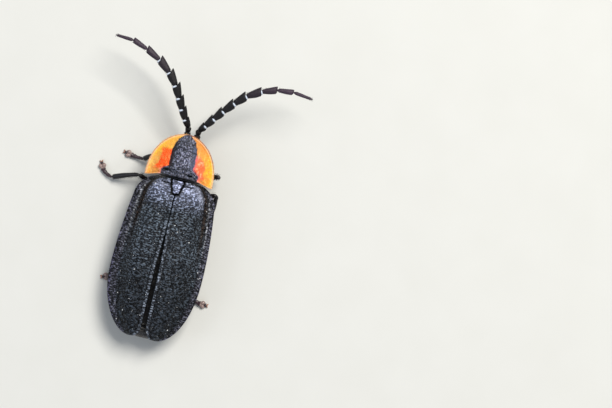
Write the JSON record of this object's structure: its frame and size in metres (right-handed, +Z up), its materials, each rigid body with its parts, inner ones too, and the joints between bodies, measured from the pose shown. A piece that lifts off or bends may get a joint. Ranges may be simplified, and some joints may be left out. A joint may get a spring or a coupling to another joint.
{
  "type": "black firefly beetle model",
  "caption": "Still, life-size model of a black firefly standing on its feet, wing cases closed, orange-sided head shield, saw-toothed antennae swept out to both sides.",
  "frame": {"origin": "on the floor, under the middle of the model's box", "axes": "+Z up, +Y towards the head and antennae, +X towards the beetle's right side"},
  "size_m": [0.012, 0.0166, 0.0032],
  "materials": {
    "black_cuticle": "satin, finely haired",
    "grey_cuticle": "matt, granular, finely haired",
    "amber_cuticle": "satin, horn-like",
    "eye_lens": "glossy",
    "smoky_membrane": "satin, smoky",
    "brown_cuticle": "satin, finely haired"
  },
  "bodies": {
    "root": {"head": "black_cuticle", "eye_left": "eye_lens", "eye_right": "eye_lens", "mandible_left": "brown_cuticle", "mandible_right": "brown_cuticle", "palp_left": "brown_cuticle", "palp_right": "brown_cuticle", "antenna_left": "black_cuticle", "antenna_right": "black_cuticle", "pronotum_disc": "grey_cuticle", "pronotum_margin_left": "amber_cuticle", "pronotum_margin_right": "amber_cuticle", "prothorax": "black_cuticle", "mesothorax": "black_cuticle", "metathorax": "black_cuticle", "scutellum": "grey_cuticle", "abdomen": "black_cuticle", "elytron_left": "grey_cuticle", "elytron_right": "grey_cuticle", "hind_wing_left": "smoky_membrane", "hind_wing_right": "smoky_membrane", "leg_front_left": "brown_cuticle", "leg_front_right": "brown_cuticle", "leg_mid_left": "brown_cuticle", "leg_mid_right": "brown_cuticle", "leg_hind_left": "brown_cuticle", "leg_hind_right": "brown_cuticle"}
  },
  "joints": []
}
